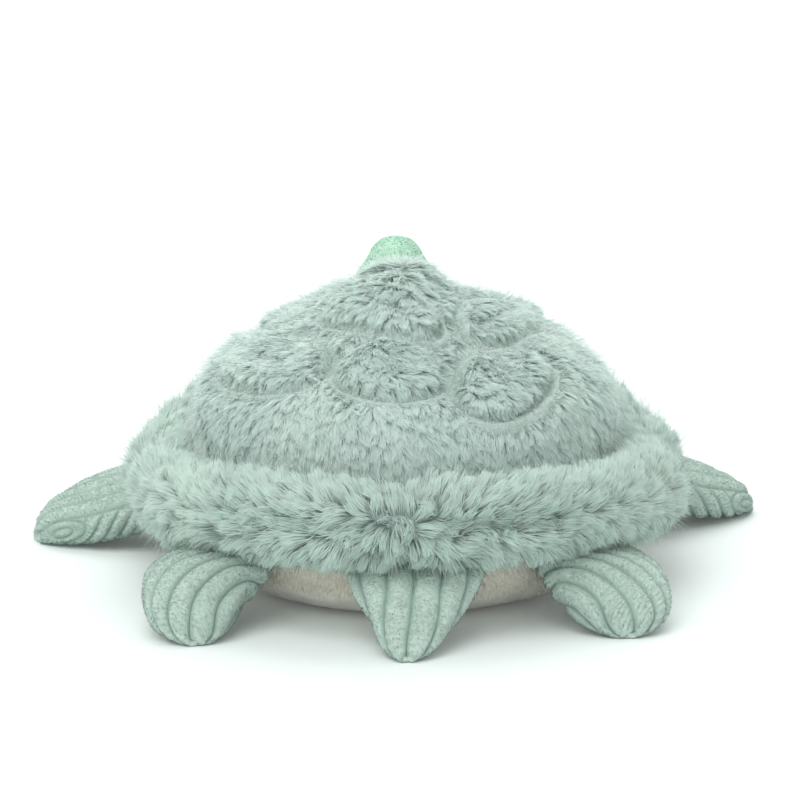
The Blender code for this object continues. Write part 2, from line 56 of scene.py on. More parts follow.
# The solids' sizes, in metres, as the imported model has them

RIM_HALF_WIDTH = 0.0965
RIM_HALF_LENGTH = 0.106
RIM_RADIUS = 0.017
RIM_SIDE_HEIGHT = 0.038
RIM_REAR_HEIGHT = 0.045
RIM_FRONT_HEIGHT = 0.067
RIM_FRONT_POWER = 2
RIM_REAR_POWER = 2
STITCH_GAP = 0.0003
LIMB_SEAM_GAP = 0.0004
SHELL_HEIGHT = 0.126
SHELL_EDGE_INSET = 0.010
SHELL_PROFILE_SHARES = (
    (1.0, 0.0), (1.0, 0.22), (0.95, 0.38), (0.84, 0.50),
    (0.66, 0.62), (0.46, 0.76), (0.24, 0.91), (0.0, 1.0),
)
# Each scute's centre and half sizes as shares of the roll's, where the photograph shows it, and its turn
SCUTE_SHARES = (
    (-0.53, -0.346, 0.348, 0.157, -58), (-0.06, -0.609, 0.22, 0.172, -22), (0.39, -0.545, 0.297, 0.157, 64),
    (-0.10, -0.246, 0.274, 0.138, -32), (0.395, -0.02, 0.42, 0.119, 74), (-0.48, 0.30, 0.32, 0.125, -76),
    (0.02, 0.18, 0.24, 0.17, 0), (0.0, 0.60, 0.25, 0.17, 0), (0.45, 0.60, 0.18, 0.14, -40),
    (-0.40, 0.70, 0.16, 0.12, 40),
)
BELLY_EDGE_INSET = 0.003
BELLY_PROFILE_SHARES = ((1.0, 1.0), (0.985, 0.72), (0.93, 0.42), (0.83, 0.17), (0.72, 0.03), (0.64, 0.0))
# Place along a limb, and its width and thickness there
FRONT_SHARES = (
    (0.0, 0.95, 0.38), (0.2, 1.0, 0.72), (0.45, 0.97, 1.0), (0.65, 0.89, 0.98),
    (0.82, 0.72, 0.84), (0.93, 0.50, 0.62), (0.985, 0.26, 0.32),
)
REAR_SHARES = (
    (0.0, 1.0, 0.38), (0.2, 1.0, 0.72), (0.45, 0.95, 1.0), (0.65, 0.86, 1.0),
    (0.82, 0.72, 0.86), (0.93, 0.52, 0.64), (0.985, 0.28, 0.34),
)
TAIL_SHARES = (
    (0.0, 1.0, 0.40), (0.2, 0.94, 0.72), (0.45, 0.80, 1.0), (0.65, 0.66, 0.95),
    (0.82, 0.52, 0.78), (0.93, 0.38, 0.58), (0.985, 0.22, 0.32),
)
LIMB_TURN_SHARE = 0.45
LIMB_ROOT_INSET = 0.001
LIMB_ROOT_DEGREES = 12
# Length, width and thickness
FRONT_SIZES = (0.078, 0.056, 0.020)
REAR_SIZES = (0.052, 0.052, 0.020)
TAIL_SIZES = (0.035, 0.052, 0.015)
# Where a limb is sewn on and where it points, in degrees, the share of its length, its sizes, its shares, how
# much of its width is trimmed off and how far its tip lies aside
LIMBS = {
    "front_flipper_left": (155, 203, 0.90, FRONT_SIZES, FRONT_SHARES, 0.0, 0.0),
    "front_flipper_right": (38, 17, 1.0, FRONT_SIZES, FRONT_SHARES, 0.0, 0.0),
    "rear_flipper_left": (-133, -76, 1.03, REAR_SIZES, REAR_SHARES, 0.12, 0.0005),
    "rear_flipper_right": (-47, -85, 0.78, REAR_SIZES, REAR_SHARES, 0.04, 0.0010),
    "tail": (-88, -91, 1.0, TAIL_SIZES, TAIL_SHARES, 0.17, -0.0030),
}
# The root, the curve's angle and handle at both ends, and the end
NECK_PATH = ((0, 0.096, 0.028), 5, 0.040, 80, 0.018, (-0.004, 0.150, 0.062))
NECK_ROOT_RADIUS = 0.019
NECK_END_RADIUS = 0.0175
# Half width, depth behind and before the neck, and height
HEAD_SIZES = (0.0225, 0.023, 0.034, 0.047)
# A ring's height, half width, depth behind and depth before
HEAD_RING_SHARES = (
    (0.05, 0.80, 0.76, 0.66), (0.15, 0.91, 0.87, 0.92), (0.30, 0.98, 0.96, 1.0), (0.47, 1.0, 1.0, 0.97),
    (0.64, 0.80, 0.88, 0.80), (0.79, 0.585, 0.69, 0.58), (0.90, 0.46, 0.51, 0.41), (0.97, 0.29, 0.32, 0.25),
)


# Numbers on arrays of points

def unit(vectors):
    return vectors / np.maximum(np.linalg.norm(vectors, axis=-1, keepdims=True), 1e-12)


def dot(a, b):
    return (a * b).sum(-1, keepdims=True)


def smooth_step(low, high, value):
    t = np.clip((value - low) / (high - low), 0, 1)
    return t * t * (3 - 2 * t)


def noise(points, size, seed):
    """Smooth noise from -1 to 1, whose bumps have about this size."""
    lattice = np.random.default_rng(seed).uniform(-1, 1, (32, 32, 32))
    place = points / size + 100.37
    cell = np.floor(place).astype(int)
    t = place - cell
    t = t * t * (3 - 2 * t)
    total = np.zeros(points.shape[:-1])
    for i in (0, 1):
        for j in (0, 1):
            for k in (0, 1):
                share = np.where(i, t[..., 0], 1 - t[..., 0])
                share = share * np.where(j, t[..., 1], 1 - t[..., 1])
                share = share * np.where(k, t[..., 2], 1 - t[..., 2])
                value = lattice[(cell[..., 0] + i) % 32, (cell[..., 1] + j) % 32, (cell[..., 2] + k) % 32]
                total += share * value
    return total


def noise3(points, size, seed):
    return np.stack([noise(points, size, seed + i) for i in range(3)], -1)


def curve_rows(rows, steps):
    """Rows of a Catmull-Rom curve through rows of numbers."""
    rows = np.array(rows, float)
    made = []
    last = len(rows) - 1
    for i in range(last):
        before, start, end, after = rows[max(i - 1, 0)], rows[i], rows[i + 1], rows[min(i + 2, last)]
        for step in range(steps):
            t = step / steps
            made.append(
                0.5 * (2 * start + (end - before) * t
                       + (2 * before - 5 * start + 4 * end - after) * t ** 2
                       + (3 * start - before - 3 * end + after) * t ** 3)
            )
    made.append(rows[last])
    return np.array(made)


def even_rows(rows, count):
    """The same curve at evenly spaced places along its length in its own numbers."""
    fine = curve_rows(rows, 40)
    way = np.concatenate([[0], np.cumsum(np.linalg.norm(np.diff(fine, axis=0), axis=1))])
    places = np.linspace(0, way[-1], count)
    return np.stack([np.interp(places, way, column) for column in fine.T], -1)


def fold_depths(points, folds):
    """Soft folds: a sum of noises, each with its height, size and seed."""
    return sum(height * noise(points, size, seed) for height, size, seed in folds)


# Surfaces as grids: rows along the piece and columns round it

class Skin:
    """A grid of points whose columns close on themselves, with its normals pointing out."""

    def __init__(self, points, loop=False):
        self.points = points
        self.loop = loop
        self.update()

    def update(self):
        p = self.points
        if self.loop:
            along = np.roll(p, -1, 0) - np.roll(p, 1, 0)
        else:
            along = np.gradient(p, axis=0)
        around = np.roll(p, -1, 1) - np.roll(p, 1, 1)
        self.normals = unit(np.cross(around, along))

    def move(self, depths):
        """Moves each point out along its normal."""
        self.points = self.points + self.normals * depths[..., None]
        self.update()

    def grid(self, values):
        return np.concatenate([values, values[:1]]) if self.loop else values


def plane_points(angles, reach, height):
    """Points in the upright planes at these angles, from distances and heights of one row for each."""
    return np.stack([reach * np.cos(angles), reach * np.sin(angles), height + 0 * reach], -1)


def roll_centre(angles):
    reach = RIM_HALF_WIDTH * RIM_HALF_LENGTH / np.hypot(
        RIM_HALF_LENGTH * np.cos(angles), RIM_HALF_WIDTH * np.sin(angles))
    front = np.maximum(0, np.sin(angles)) ** RIM_FRONT_POWER
    rear = np.maximum(0, -np.sin(angles)) ** RIM_REAR_POWER
    height = RIM_SIDE_HEIGHT + front * (RIM_FRONT_HEIGHT - RIM_SIDE_HEIGHT)
    height = height + rear * (RIM_REAR_HEIGHT - RIM_SIDE_HEIGHT)
    return reach, height


def roll_seat(angles, inset, side):
    reach, height = roll_centre(angles)
    return reach - inset, height + side * math.sqrt((RIM_RADIUS + STITCH_GAP) ** 2 - inset ** 2)


def ring_angles(count):
    return np.arange(count) * 2 * np.pi / count


# Meshes

def new_mesh(name, points, faces, uvs=None, normals=None):
    """A mesh from arrays. Faces is a list of arrays, one for each number of corners."""
    mesh = bpy.data.meshes.new(name)
    mesh.vertices.add(len(points))
    mesh.vertices.foreach_set("co", np.ascontiguousarray(points, np.float32).ravel())
    corners = np.concatenate([f.ravel() for f in faces]).astype(np.int32)
    sizes = np.concatenate([np.full(len(f), f.shape[1]) for f in faces])
    starts = np.concatenate([[0], np.cumsum(sizes)[:-1]]).astype(np.int32)
    mesh.loops.add(len(corners))
    mesh.loops.foreach_set("vertex_index", corners)
    mesh.polygons.add(len(starts))
    mesh.polygons.foreach_set("loop_start", starts)
    if uvs is not None:
        layer = mesh.uv_layers.new(name="OFBake")
        layer.data.foreach_set("uv", uvs[corners].astype(np.float32).ravel())
    mesh.update(calc_edges=True)
    mesh.shade_smooth()
    if normals is not None:
        for stored in ("custom_normal", "pile_normal"):
            layer = mesh.attributes.new(stored, "FLOAT_VECTOR", "POINT")
            layer.data.foreach_set("vector", np.ascontiguousarray(normals, np.float32).ravel())
    return mesh


def new_object(name, mesh, material):
    made = bpy.data.objects.new(name, mesh)
    bpy.context.scene.collection.objects.link(made)
    made.data.materials.append(material)
    return made


def skin_mesh(name, skin, material, first_pole=None, last_pole=None):
    """The skin as an object, with a fan to each pole that it has."""
    rows, columns = skin.points.shape[:2]
    index = skin.grid(np.arange(rows * columns).reshape(rows, columns))
    right = np.roll(index, -1, 1)
    quads = np.stack([index[:-1], right[:-1], right[1:], index[1:]], -1).reshape(-1, 4)
    points = [skin.points.reshape(-1, 3)]
    u = np.tile((np.arange(columns) + 0.5) / columns, (rows, 1))
    v = np.tile((np.arange(rows)[:, None] + 0.5) / rows, (1, columns))
    uvs = [np.stack([u, v], -1).reshape(-1, 2)]
    tris = []
    for pole, row, turn in ((first_pole, index[0], 1), (last_pole, index[-1], -1)):
        if pole is not None:
            fan = np.stack([row, np.full(columns, rows * columns + len(points) - 1), np.roll(row, -1)], -1)
            tris.append(fan[:, ::turn])
            points.append(np.array([pole]))
            uvs.append(np.array([(0.5, 0.001 if turn > 0 else 0.999)]))
    mesh = new_mesh(name, np.concatenate(points), [quads] + tris, np.concatenate(uvs))
    return new_object(name, mesh, material)


def store_groove_shade(mesh, groove_shade):
    """Keeps how deep each point lies in a groove, for the painted shade that the ground's material puts there. The last
    point is the pole.
    """
    layer = mesh.attributes.new("groove_shade", "FLOAT", "POINT")
    layer.data.foreach_set("value", np.append(groove_shade.ravel(), 0).astype(np.float32))


def cell_areas(skin, weight):
    """The area of each cell of a skin's grid, times its weight."""
    p = skin.grid(skin.points)
    area = np.linalg.norm(np.cross(np.roll(p, -1, 1)[:-1] - p[:-1], p[1:] - p[:-1]), axis=-1)
    return area if weight is None else area * skin.grid(weight)[:-1]


def scatter(skin, count, rng, weight=None):
    """Random places on a skin, even by area: points, normals, and grid places as shares."""
    p = skin.grid(skin.points)
    n = skin.grid(skin.normals)
    q = np.roll(p, -1, 1)
    m = np.roll(n, -1, 1)
    area = cell_areas(skin, weight)
    total = np.cumsum(area.ravel())
    cell = np.searchsorted(total, rng.uniform(0, total[-1], count)).clip(0, total.size - 1)
    row, column = np.divmod(cell, area.shape[1])
    s = rng.uniform(0, 1, (count, 1))
    t = rng.uniform(0, 1, (count, 1))

    def mix(a, b):
        low = a[row, column] * (1 - s) + b[row, column] * s
        high = a[row + 1, column] * (1 - s) + b[row + 1, column] * s
        return low * (1 - t) + high * t

    u = (column + s[:, 0]) / area.shape[1]
    v = (row + t[:, 0]) / area.shape[0]
    return mix(p, q), unit(mix(n, m)), u, v


LONG_STRAND = ((0.0, 0.9), (0.4, 1.0), (0.75, 0.7), (1.0, 0.0))
SHORT_STRAND = ((0.0, 1.0), (0.6, 0.85), (1.0, 0.0))


def strand_mesh(name, root, bend, tip, face, shade, width, tone, form, material):
    """Tapered blades along bent strands. Face is the way each blade looks, and shade its shading normal."""
    count = len(root)
    levels = len(form) - 1
    corners = 2 * levels + 1
    side = unit(np.cross(tip - root, face)) * (width / 2)[:, None]
    points = np.empty((count, corners, 3), np.float32)
    uvs = np.empty((count, corners, 2), np.float32)
    for level, (s, wide) in enumerate(form):
        middle = root * (1 - s) ** 2 + bend * 2 * s * (1 - s) + tip * s ** 2
        points[:, 2 * level] = middle - side * wide
        if wide:
            points[:, 2 * level + 1] = middle + side * wide
        uvs[:, 2 * level:2 * level + 2, 1] = 0.02 + 0.96 * s
    uvs[..., 0] = tone[:, None]
    base = np.arange(count)[:, None, None] * corners
    blade = np.array([[0, 1, 3, 2]]) + 2 * np.arange(levels - 1)[:, None]
    quads = (base + blade).reshape(-1, 4)
    tris = (base + np.array([[0, 1, 2]]) + 2 * (levels - 1)).reshape(-1, 3)
    normals = np.repeat(shade[:, None], corners, 1).reshape(-1, 3)
    mesh = new_mesh(name, points.reshape(-1, 3), [quads, tris], uvs.reshape(-1, 2), normals)
    return new_object(name, mesh, material)


# How far strands and tufts stray from the pile's lie, and their leans and lengths with them
STRAND_STRAY = 0.18
TUFT_STRAY = 0.42
LEAN_STRAY = 0.35
LENGTH_STRAY = 0.22
# How far a tuft reaches in its own spacings, how firmly it holds, and what it leaves of a strand's place in it
TUFT_REACH = 1.6
TUFT_HOLD = (0.55, 1)
TIP_PLACE = 0.22
BEND_PLACE = 0.7
BEND_HOLD = 0.55
BLADE_SHADE = 0.6
PATCH_SIZE = 0.018
PATCH_TONE = 0.25
STRAND_TONE = 0.16
STRAND_WIDTHS = (0.75, 1.25)


def lay_pile(skin, seed, density, length, width, clump, comb, pull, weight=None, curl=0.15, scatter_light=0.2,
             keep=None, unruly=1.0, rise=(0.6, 1.25), lift=0.25, twist=0.25):
    """The strands of a pile fabric on a skin, drawn together into tufts.

    Density is in strands for each square millimetre and clump is the tufts' spacing. Comb says how the pile lies at
    places on the skin: a direction along it, a lean from upright and a share of the length. Pull draws the tufts
    in, curl and unruly let strands stray, rise is the lean of a strand's two halves, lift turns its shading
    normal up, twist turns blades about themselves, and keep is the chance that a place has a strand.
    """
    rng = np.random.default_rng(seed)
    area = cell_areas(skin, weight).sum()
    root, normal, u, v = scatter(skin, int(area / MM ** 2 * density), rng, weight)
    if keep:
        kept = rng.uniform(0, 1, len(u)) < 0.25 + 0.75 * keep(u, v, 1)
        root, normal, u, v = root[kept], normal[kept], u[kept], v[kept]
    tuft_root, tuft_normal, tuft_u, tuft_v = scatter(skin, int(area / clump ** 2), rng, weight)
    if keep:
        kept = rng.uniform(0, 1, len(tuft_u)) < keep(tuft_u, tuft_v, 4)
        tuft_root, tuft_normal, tuft_u, tuft_v = (a[kept] for a in (tuft_root, tuft_normal, tuft_u, tuft_v))

    def lie(points, normals, us, vs, spread):
        way, lean, length_share = comb(points, normals, us, vs)
        count = len(points)
        way = way + spread * rng.normal(0, 1, (count, 3))
        way = unit(way - normals * dot(way, normals))
        lean = lean + spread * LEAN_STRAY * rng.normal(0, 1, count)
        reach = (length * length_share * (1 + LENGTH_STRAY * rng.uniform(-1, 1, count)))[:, None]
        low, high = [normals * np.cos(lean * share)[:, None] + way * np.sin(lean * share)[:, None] for share in rise]
        middle = points + low * reach * 0.5
        return middle, middle + high * reach * 0.5, length_share

    bend, tip, share = lie(root, normal, u, v, STRAND_STRAY * unruly)
    tuft_bend, tuft_tip, _ = lie(tuft_root, tuft_normal, tuft_u, tuft_v, TUFT_STRAY * unruly)
    tree = KDTree(len(tuft_root))
    for i, place in enumerate(tuft_root):
        tree.insert(place, i)
    tree.balance()
    nearest = np.array([tree.find(place)[1] for place in root])
    offset = root - tuft_root[nearest]
    near = np.clip(TUFT_REACH - np.linalg.norm(offset, axis=1) / clump, 0, 1)
    hold = (pull * near * rng.uniform(*TUFT_HOLD, len(root)))[:, None]
    tip = tip * (1 - hold) + (tuft_tip[nearest] + offset * TIP_PLACE) * hold
    bend = bend * (1 - hold * BEND_HOLD) + (tuft_bend[nearest] + offset * BEND_PLACE) * hold * BEND_HOLD
    reach = np.linalg.norm(tip - root, axis=1)
    tip = tip + rng.normal(0, 1, tip.shape) * (curl * reach)[:, None] * 0.5
    along = unit(tip - root)
    across = normal - along * dot(normal, along)
    shade = unit(normal + BLADE_SHADE * across + scatter_light * rng.normal(0, 1, normal.shape))
    shade = unit(shade + lift * UP)
    across = unit(across + twist * rng.normal(0, 1, normal.shape))
    patch = noise(root, PATCH_SIZE, seed + 50)
    tone = np.clip(0.5 + PATCH_TONE * patch + STRAND_TONE * rng.normal(0, 1, len(root)), 0.02, 0.98)
    widths = width * rng.uniform(*STRAND_WIDTHS, len(root)) * np.clip(share, 0.5, 1)
    return {"root": root, "bend": bend, "tip": tip, "face": across, "shade": shade, "width": widths, "tone": tone,
            "u": u}


def pile_objects(name, pile, material, body, parts, blend=None, form=LONG_STRAND):
    """The strands as objects, split by their place so that none has too many faces. They are parented to the body
    unless blend is given, and then stand alone.
    """
    order = np.argsort(pile["u"], kind="stable")
    names = ("root", "bend", "tip", "face", "shade", "width", "tone")
    for i, members in enumerate(np.array_split(order, parts)):
        piece = strand_mesh(f"{name}_{i + 1}", *[pile[key][members] for key in names], form, material)
        if blend:
            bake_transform(piece)
        else:
            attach(piece, body)


# Materials

# The share of light that goes through a fibre, and the fabrics' colours, in linear values
LET_THROUGH = 0.4
SAGE = (0.695, 0.805, 0.76)
# Painted shade: the roll's fur ground is darker than its strands, as if deep in the pile
SAGE_SHADED_GROUND = (0.50, 0.60, 0.56)
DOME_SAGE = (0.78, 0.87, 0.84)
# Painted shade: the dome's ground is darker than its strands, as if deep in the pile
DOME_SHADED_GROUND = (0.50, 0.60, 0.555)
CORD = (0.57, 0.70, 0.635)
CORD_DEEP = (0.535, 0.655, 0.595)
MINT = (0.69, 0.92, 0.785)
MINT_DEEP = (0.64, 0.90, 0.74)
CREAM = (0.96, 0.92, 0.85)
WHITE = (1.0, 1.0, 1.0)
# Painted shade: tints for the strands' darkened roots, deep in the pile
ROOT_SHADE_TINT = (0.84, 0.97, 0.94)
BELLY_ROOT_SHADE_TINT = (1.0, 0.97, 0.94)
# Painted shade: the colour the ground is darkened to at the bottom of a groove
GROOVE_SHADE_TINT = (0.66, 0.74, 0.71)
STRAND_TINTS = ((0.0, (0.84, 0.90, 0.88)), (0.5, WHITE), (0.85, (1.05, 1.05, 1.03)), (1.0, (1.12, 1.09, 1.02)))


def new_material(name, roughness=0.9, sheen=0.0, specular=0.25):
    made = bpy.data.materials.new(name)
    made.use_nodes = True
    shader = made.node_tree.nodes["Principled BSDF"]
    shader.inputs["Roughness"].default_value = roughness
    shader.inputs["Specular IOR Level"].default_value = specular
    shader.inputs["Sheen Weight"].default_value = sheen
    shader.inputs["Sheen Roughness"].default_value = 0.5
    return made, made.node_tree, shader


def add_node(tree, kind, inputs=(), **values):
    node = tree.nodes.new(kind)
    for key, value in values.items():
        setattr(node, key, value)
    for key, value in dict(inputs).items():
        if isinstance(value, bpy.types.NodeSocket):
            tree.links.new(value, node.inputs[key])
        else:
            node.inputs[key].default_value = value
    return node


def ramp(tree, factor, stops):
    node = add_node(tree, "ShaderNodeValToRGB", {"Fac": factor})
    while len(node.color_ramp.elements) < len(stops):
        node.color_ramp.elements.new(0.5)
    for element, (place, colour) in zip(node.color_ramp.elements, stops):
        element.position = place
        element.color = (*colour, 1.0)
    return node.outputs["Color"]


def multiply(tree, a, b, factor=1.0):
    node = add_node(tree, "ShaderNodeMix", data_type="RGBA", blend_type="MULTIPLY")
    node.inputs["Factor"].default_value = factor
    for socket, value in ((node.inputs["A"], a), (node.inputs["B"], b)):
        if isinstance(value, bpy.types.NodeSocket):
            tree.links.new(value, socket)
        else:
            socket.default_value = (*value, 1.0)
    return node.outputs["Result"]


def shades(colour, *factors):
    return [tuple(min(1.0, c * f) for c in colour) for f in factors]


def fibre_material(name, colour, root=0.7, tip=1.12, spread=1.0, root_shade_tint=ROOT_SHADE_TINT):
    """Strands darkened at the root as painted shade of the pile's depth, paler at the tip, and each of its own tone."""
    made, tree, shader = new_material(name, 1.0, 0.0, 0.0)
    place = add_node(tree, "ShaderNodeUVMap", uv_map="OFBake")
    parts = add_node(tree, "ShaderNodeSeparateXYZ", {"Vector": place.outputs["UV"]})
    # Painted shade: root scales the colour down at the strands' roots
    low, middle, high = shades(colour, root, 1.0, tip)
    low = tuple(c * t for c, t in zip(low, root_shade_tint))
    along = ramp(tree, parts.outputs["Y"], ((0.0, low), (0.45, middle), (1.0, high)))
    tones = ramp(tree, parts.outputs["X"], STRAND_TINTS)
    shade = multiply(tree, along, tones, spread)
    tree.links.new(shade, shader.inputs["Base Color"])
    stored = add_node(tree, "ShaderNodeAttribute", attribute_name="pile_normal")
    facing = add_node(tree, "ShaderNodeVectorTransform", {"Vector": stored.outputs["Vector"]},
                      vector_type="NORMAL", convert_from="OBJECT", convert_to="WORLD")
    behind = add_node(tree, "ShaderNodeNewGeometry").outputs["Backfacing"]
    turn = add_node(tree, "ShaderNodeMath", {0: behind, 1: -2.0, 2: 1.0}, operation="MULTIPLY_ADD")
    facing = add_node(tree, "ShaderNodeVectorMath", {"Vector": facing.outputs["Vector"], "Scale": turn.outputs[0]},
                      operation="SCALE")
    tree.links.new(facing.outputs["Vector"], shader.inputs["Normal"])
    through = add_node(tree, "ShaderNodeBsdfTranslucent", {"Color": shade, "Normal": facing.outputs["Vector"]})
    mixed = add_node(tree, "ShaderNodeMixShader", {
        "Fac": LET_THROUGH, 1: shader.outputs["BSDF"], 2: through.outputs["BSDF"]})
    tree.links.new(mixed.outputs["Shader"], tree.nodes["Material Output"].inputs["Surface"])
    return made


def ground_material(name, colour, scale, roughness=0.95, low=0.92, high=1.05, bump=0.3, distance=0.0006, sheen=0.2):
    """A woven or knitted ground with uneven colour, a fine nap, and painted shade that darkens it in grooves."""
    made, tree, shader = new_material(name, roughness, sheen)
    place = add_node(tree, "ShaderNodeTexCoord").outputs["Object"]
    broad = add_node(tree, "ShaderNodeTexNoise", {"Vector": place, "Scale": scale * 0.08, "Detail": 3.0})
    fine = add_node(tree, "ShaderNodeTexNoise", {"Vector": place, "Scale": scale, "Detail": 5.0, "Roughness": 0.65})
    first = ramp(tree, broad.outputs["Fac"], tuple(zip((0.3, 0.7), shades(colour, 0.93, 1.05))))
    second = ramp(tree, fine.outputs["Fac"], ((0.3, (low,) * 3), (0.7, (high,) * 3)))
    # Painted shade: the ground darkens by how deep it lies in a groove
    groove_shade = add_node(tree, "ShaderNodeAttribute", attribute_name="groove_shade")
    third = ramp(tree, groove_shade.outputs["Fac"], ((0.0, WHITE), (1.0, GROOVE_SHADE_TINT)))
    mixed = multiply(tree, multiply(tree, first, second), third)
    tree.links.new(mixed, shader.inputs["Base Color"])
    raised = add_node(tree, "ShaderNodeBump", {
        "Height": fine.outputs["Fac"], "Strength": bump, "Distance": distance})
    tree.links.new(raised.outputs["Normal"], shader.inputs["Normal"])
    return made


# Root sets how dark the painted shade at each kind of strand's root is
fur = fibre_material("fur_fibres", SAGE, root=0.6, tip=1.18)
fur_ground = ground_material("fur_ground", SAGE_SHADED_GROUND, 900)
dome_fur = fibre_material("dome_fibres", DOME_SAGE, root=0.65, tip=1.15)
dome_ground = ground_material("dome_ground", DOME_SHADED_GROUND, 900)
cord = ground_material("cord_plush", CORD_DEEP, 1400)
cord_fibres = fibre_material("cord_fibres", CORD, root=0.78, tip=1.1, spread=0.5)
velour = ground_material("velour", MINT_DEEP, 1400)
velour_fibres = fibre_material("velour_fibres", MINT, root=0.85, tip=1.08, spread=0.5)
plush = ground_material("belly_plush", CREAM, 1200)
plush_fibres = fibre_material("belly_fibres", CREAM, root=0.85, tip=1.08, spread=0.5, root_shade_tint=BELLY_ROOT_SHADE_TINT)


# Shell dome

def scute_place(points, normals):
    """Distance outwards from the nearest stitched band, below zero inside its scute, and place along the band."""
    x, y = points[..., 0], points[..., 1]
    nearest = np.full(x.shape, 1.0)
    along = np.zeros(x.shape)
    for cx, cy, half_width, half_length, turn in SCUTE_SHARES:
        dx = x - cx * RIM_HALF_WIDTH
        dy = y - cy * RIM_HALF_LENGTH
        c, s = math.cos(math.radians(turn)), math.sin(math.radians(turn))
        wide = half_width * RIM_HALF_WIDTH
        long = half_length * RIM_HALF_LENGTH
        right, fore = (dx * c + dy * s) / wide, (dy * c - dx * s) / long
        rings = np.hypot(right, fore)
        out = (rings - 1) * rings / np.maximum(np.hypot(right / wide, fore / long), 1e-6)
        closer = np.abs(out) < np.abs(nearest)
        nearest = np.where(closer, out, nearest)
        along = np.where(closer, np.arctan2(fore, right) * (wide + long) / 2, along)
    return nearest / np.maximum(normals[..., 2], 0.25), along


DOME_FOLDS = ((1.2 * MM, 0.026, 3), (0.7 * MM, 0.011, 7))
BAND = 2.0 * MM
BAND_RIB = 1.9 * MM
BAND_RIB_RISE = 0.5 * MM
BAND_DEPTH = 2.6 * MM
PUFF_RISE = 1.8 * MM
PUFF_REACH = 9 * MM
DOME_PILE_DEPTH = 2.6 * MM
PARTING_REACH = 9.5 * MM
DOME_COLUMNS = 510
DOME_ROWS = 190
# Place across the shell, width and depth of the dents in its crest
DOME_DENTS = ((17 * MM, 9 * MM, 4.5 * MM), (38 * MM, 14 * MM, 2.5 * MM), (-47 * MM, 10 * MM, 3.0 * MM))


def make_dome():
    angles = ring_angles(DOME_COLUMNS)
    shares = even_rows(SHELL_PROFILE_SHARES, DOME_ROWS)[:-1]
    reach, height = roll_seat(angles, SHELL_EDGE_INSET, 1)
    radii = shares[:, :1] * reach
    heights = height + shares[:, 1:] * (SHELL_HEIGHT - height)
    skin = Skin(plane_points(angles, radii, heights))
    x = skin.points[..., 0]
    out, along = scute_place(skin.points, skin.normals)
    band = smooth_step(BAND, 0.6 * BAND, np.abs(out))
    ribs = band * np.cos(2 * np.pi * along / BAND_RIB)
    groove = BAND_DEPTH * smooth_step(2.4 * BAND, 0.8 * BAND, np.abs(out)) - BAND_RIB_RISE * ribs
    puff = PUFF_RISE * np.clip(-out / PUFF_REACH, 0, 1)
    folds = fold_depths(skin.points, DOME_FOLDS)
    for dent_x, dent_width, dent in DOME_DENTS:
        folds = folds - dent * np.exp(-((x - dent_x) / dent_width) ** 2) * smooth_step(0.085, 0.11, skin.points[..., 2])
    edge = smooth_step(0, 0.12, np.linspace(0, 1, len(shares)))[:, None]
    skin.move(-DOME_PILE_DEPTH - groove + (puff + folds) * edge)
    # Painted shade along the stitched bands' edges and between the ribs on them
    groove_shade = np.maximum(np.exp(-((np.abs(out) - BAND) / (0.7 * MM)) ** 2), band * 0.4 - 0.4 * ribs)
    return skin, groove_shade, 0.12 + 0.88 * smooth_step(0.6 * BAND, BAND, np.abs(out))


dome, dome_groove_shade, dome_weight = make_dome()
dome_top = dome.points[-1].mean(0) + np.array((0, 0, 0.2 * MM))
shell = skin_mesh("shell_skin", dome, dome_ground, last_pole=dome_top)
store_groove_shade(shell.data, dome_groove_shade)
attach(shell, "body")
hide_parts("shell_cover", "body_filling")


def dome_comb(points, normals, u, v):
    """The shell's pile falls outwards and swirls in patches. It parts from the stitched bands and is short on them."""
    down = unit(-UP - normals * dot(-UP, normals) + 1e-6)
    across = np.cross(normals, down)
    swirl = 0.5 * noise(points, 0.034, 11) + 0.4 * noise(points, 0.013, 12)
    way = down * np.cos(swirl)[:, None] + across * np.sin(swirl)[:, None]
    out, _ = scute_place(points, normals)
    near = np.abs(out)
    step = 0.4 * MM
    aside = np.stack([scute_place(points + np.array(shift), normals)[0] - out
                      for shift in ((step, 0, 0), (0, step, 0), (0, 0, step))], -1)
    aside = unit(aside + 1e-9) * np.sign(out)[:, None]
    close = smooth_step(PARTING_REACH, BAND + 1.0 * MM, near)
    parted = close * (0.75 + 0.25 * noise(points, 0.012, 14))
    way = way * (1 - 0.6 * parted)[:, None] + aside * (0.9 * parted)[:, None]
    way = unit(way - normals * dot(way, normals))
    lean = 1.34 - 0.25 * close + 0.12 * noise(points, 0.016, 13)
    share = 0.13 + 0.87 * smooth_step(0.95 * BAND, 3.4 * BAND, near)
    share = share * (1 + 0.35 * smooth_step(0.112, 0.121, points[:, 2]))
    return way, lean, share


dome_pile = lay_pile(dome, 21, 8.5, 5.6 * MM, 0.28 * MM, 2.6 * MM, dome_comb, 0.7, weight=dome_weight, curl=0.16,
                     unruly=1.25, rise=(0.86, 1.1), lift=0.4)
pile_objects("shell_pile", dome_pile, dome_fur, "body", 9)


def stray_comb(comb):
    """The same lie as a pile's, but for single hairs that stand out from it."""
    def stray(points, normals, u, v):
        way, lean, share = comb(points, normals, u, v)
        return way, lean * 0.72, 0.45 + 0.55 * share
    return stray


dome_hairs = lay_pile(dome, 25, 0.45, 7.5 * MM, 0.13 * MM, 5.0 * MM, stray_comb(dome_comb), 0.15, weight=dome_weight,
                      curl=0.3, unruly=1.8, lift=0.4, twist=0.6)
pile_objects("shell_hairs", dome_hairs, dome_fur, "body", 1)


# Roll round the edge

ROLL_FOLDS = ((1.5 * MM, 0.020, 31), (0.8 * MM, 0.010, 34))
ROLL_PILE_DEPTH = 5.0 * MM
ROLL_CREASE = 4.2 * MM
ROLL_SEAM = 2.2 * MM
ROLL_COLUMNS = 360
ROLL_ROWS = 44

